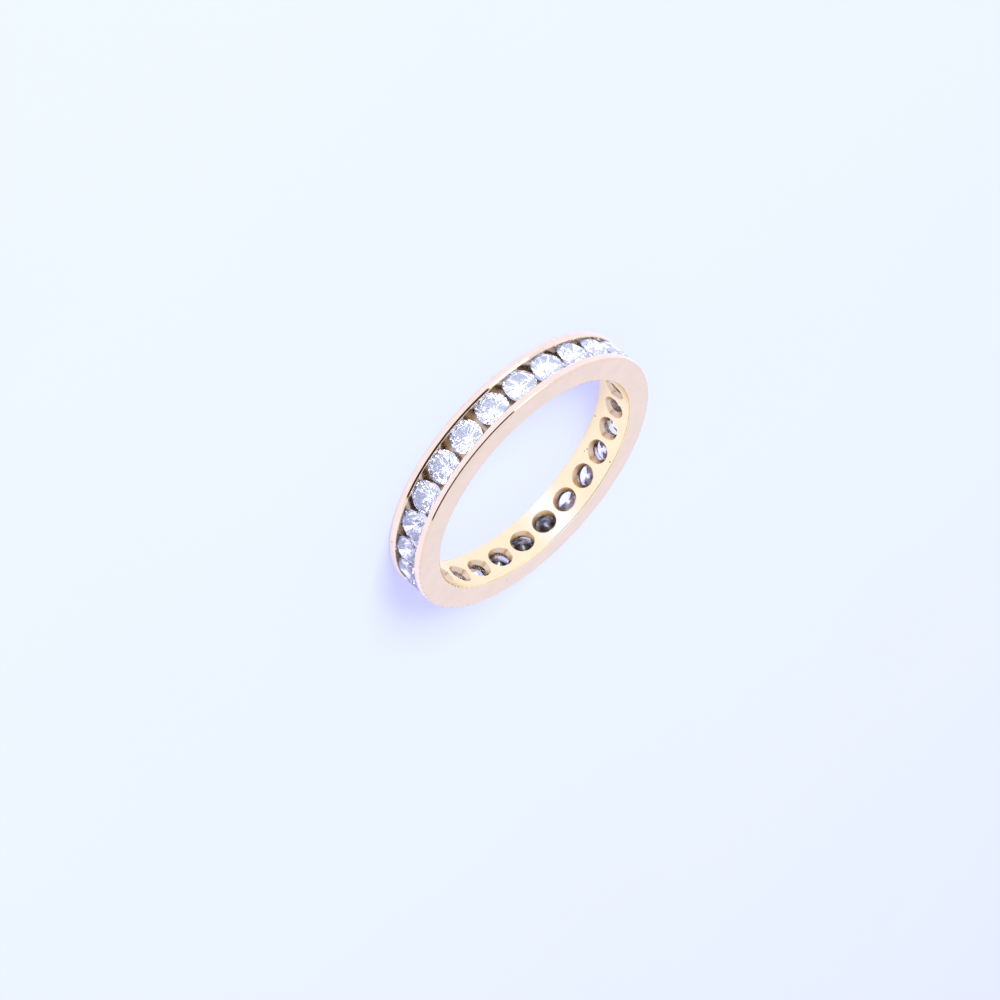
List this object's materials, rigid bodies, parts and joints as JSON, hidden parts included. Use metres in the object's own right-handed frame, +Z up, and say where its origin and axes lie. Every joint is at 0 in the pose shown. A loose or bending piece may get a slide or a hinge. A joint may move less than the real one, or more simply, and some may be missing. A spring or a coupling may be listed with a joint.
{
  "type": "eternity ring",
  "caption": "Full eternity ring: a gold hoop whose channel, between two plain rails, is set all round with round brilliant-cut stones over open holes.",
  "frame": {"origin": "on the hoop's axis, in the plane of the lower side face, which the ring lies on", "axes": "+Z up along the hoop's axis; +X out through the middle of stone_01, the stones following anticlockwise seen from above"},
  "size_m": [0.0206, 0.0206, 0.003],
  "materials": {
    "gold": "polished rose-yellow gold",
    "stone": "clear, polished facets"
  },
  "bodies": {
    "root": {"band": "gold", "stone_01": "stone", "stone_02": "stone", "stone_03": "stone", "stone_04": "stone", "stone_05": "stone", "stone_06": "stone", "stone_07": "stone", "stone_08": "stone", "stone_09": "stone", "stone_10": "stone", "stone_11": "stone", "stone_12": "stone", "stone_13": "stone", "stone_14": "stone", "stone_15": "stone", "stone_16": "stone", "stone_17": "stone", "stone_18": "stone", "stone_19": "stone", "stone_20": "stone", "stone_21": "stone", "stone_22": "stone", "stone_23": "stone", "stone_24": "stone", "stone_25": "stone", "stone_26": "stone"}
  },
  "joints": []
}
